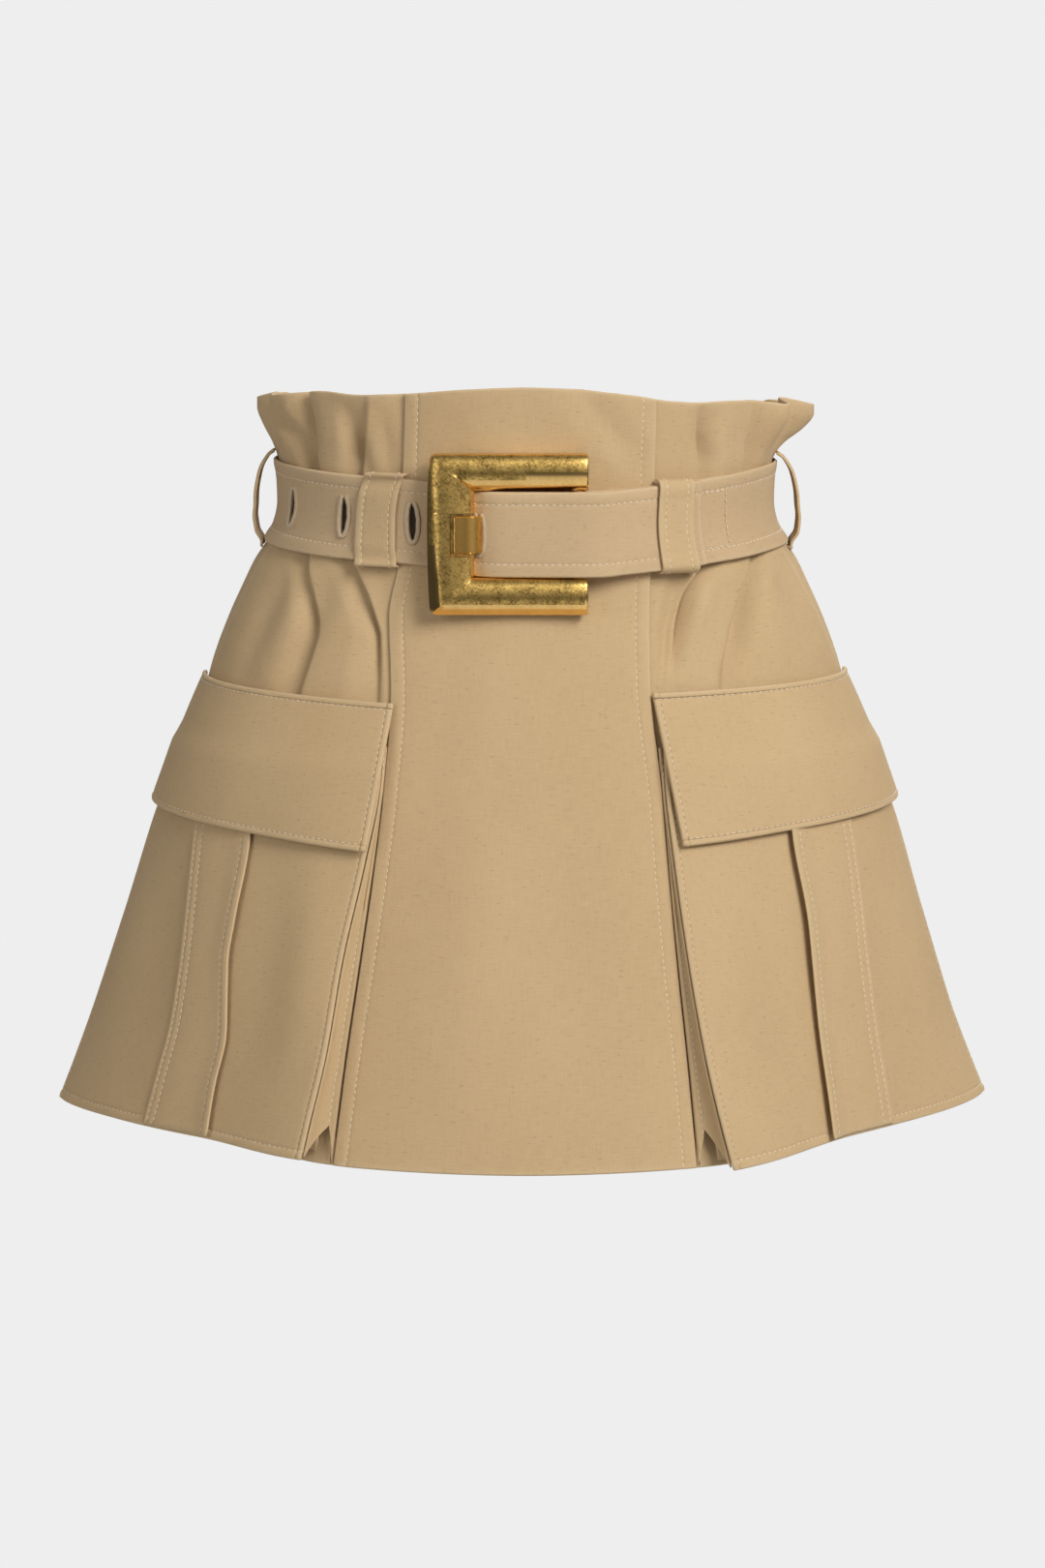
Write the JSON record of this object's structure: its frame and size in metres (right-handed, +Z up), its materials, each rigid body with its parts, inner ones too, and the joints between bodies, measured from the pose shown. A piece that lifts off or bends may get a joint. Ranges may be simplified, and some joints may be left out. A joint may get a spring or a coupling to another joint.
{
  "type": "skirt",
  "caption": "Ruffled paperbag-waist mini skirt in cotton twill, with flared bellows cargo pockets and a wide self-fabric belt in a square metal buckle, in worn form.",
  "frame": {"origin": "at the waist, on the body axis at the middle of the belt's height, where the wearer's waist holds the skirt", "axes": "+Z up along the body; -Y is the front with the buckle; +X is the side on the picture's right"},
  "size_m": [0.4785, 0.3053, 0.3739],
  "materials": {
    "cloth": "fine diagonal cotton twill in warm beige",
    "belt_cloth": "the same beige twill, doubled and topstitched",
    "gold_metal": "antique gold plating, brushed faces with polished bevels"
  },
  "bodies": {
    "root": {"front_panel": "cloth", "side_panel_left": "cloth", "side_panel_right": "cloth", "back_panel": "cloth", "pocket_panel_left": "cloth", "pocket_panel_right": "cloth", "pocket_gusset_front_left": "cloth", "pocket_gusset_front_right": "cloth", "pocket_gusset_back_left": "cloth", "pocket_gusset_back_right": "cloth", "pocket_floor_left": "cloth", "pocket_floor_right": "cloth", "pocket_band_left": "cloth", "pocket_band_right": "cloth", "flap_left": "cloth", "flap_right": "cloth", "belt": "belt_cloth", "belt_loop_front_left": "cloth", "belt_loop_front_right": "cloth", "belt_loop_back": "cloth", "belt_loop_side_left": "cloth", "belt_loop_side_right": "cloth", "buckle_frame": "gold_metal", "buckle_prong": "gold_metal"}
  },
  "joints": []
}
